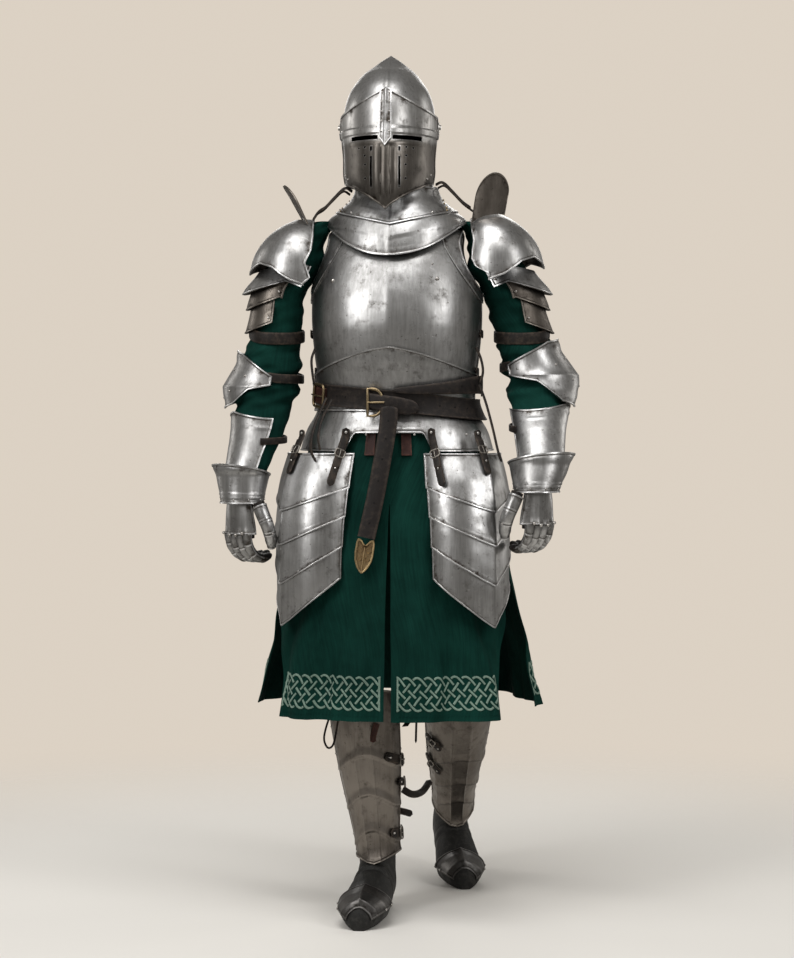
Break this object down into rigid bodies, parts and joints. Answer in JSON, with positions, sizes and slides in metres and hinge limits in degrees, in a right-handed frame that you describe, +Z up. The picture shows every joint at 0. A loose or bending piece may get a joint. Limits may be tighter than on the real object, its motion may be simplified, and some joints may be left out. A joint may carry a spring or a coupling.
{
  "type": "suit of plate armour",
  "caption": "Full plate armour over a cloth arming tunic, shaped as worn and hollow: pointed helmet with lifting visor, cuirass, tassets, arm harness, gauntlets, belt, greaves and boots.",
  "frame": {"origin": "between the wearer's shoulders, where the suit hangs from the wearer, 1.46 m above the floor", "axes": "+Z up, the suit faces -Y, +X towards the wearer's left"},
  "size_m": [0.7912, 0.759, 1.8714],
  "materials": {
    "steel": "aged satin steel, bright highlights, dark patina at the edges",
    "dark_steel": "dull darkened steel",
    "cloth": "dark green woven wool, creased, pale interlace band at the hem",
    "leather": "dark brown belt leather, worn edges",
    "boot_leather": "charcoal leather, creased",
    "brass": "antique brass"
  },
  "bodies": {
    "suit": {"gorget_upper": "steel", "gorget_lower": "steel", "breastplate": "steel", "backplate": "steel", "plackart": "steel", "fauld": "steel", "belt": "leather", "belt_tail": "leather", "belt_strap_end": "brass", "belt_buckle": "brass", "tunic_front": "cloth", "tunic_back": "cloth", "tasset_r_1": "steel", "tasset_r_2": "steel", "tasset_r_3": "steel", "tasset_r_4": "steel", "tasset_strap_r_1": "leather", "tasset_strap_r_2": "leather", "tasset_l_1": "steel", "tasset_l_2": "steel", "tasset_l_3": "steel", "tasset_l_4": "steel", "tasset_strap_l_1": "leather", "tasset_strap_l_2": "leather", "helmet_skull": "steel", "sleeve_r": "cloth", "pauldron_r": "steel", "haute_piece_r": "steel", "shoulder_lame_r": "steel", "arm_lame_upper_r": "steel", "arm_lame_lower_r": "steel", "couter_r": "steel", "vambrace_r": "steel", "sleeve_l": "cloth", "pauldron_l": "steel", "haute_piece_l": "steel", "shoulder_lame_l": "steel", "arm_lame_upper_l": "steel", "arm_lame_lower_l": "steel", "couter_l": "steel", "vambrace_l": "steel", "glove_r": "leather", "gauntlet_hand_r": "steel", "gauntlet_fingers_r": "steel", "gauntlet_thumb_r": "steel", "gauntlet_cuff_r": "steel", "glove_l": "leather", "gauntlet_hand_l": "steel", "gauntlet_fingers_l": "steel", "gauntlet_thumb_l": "steel", "gauntlet_cuff_l": "steel", "boot_r": "boot_leather", "toe_cap_r": "dark_steel", "greave_r": "steel", "boot_l": "boot_leather", "toe_cap_l": "dark_steel", "greave_l": "steel"},
    "visor": {"visor": "dark_steel", "visor_brow_strip": "steel"}
  },
  "joints": [
    {"name": "visor_lift", "type": "hinge", "parent": "suit", "child": "visor", "pos_m": [-0.016, 0, 0.248], "axis": [-0.9981, 0.061, 0], "range_deg": [0, 60]}
  ]
}
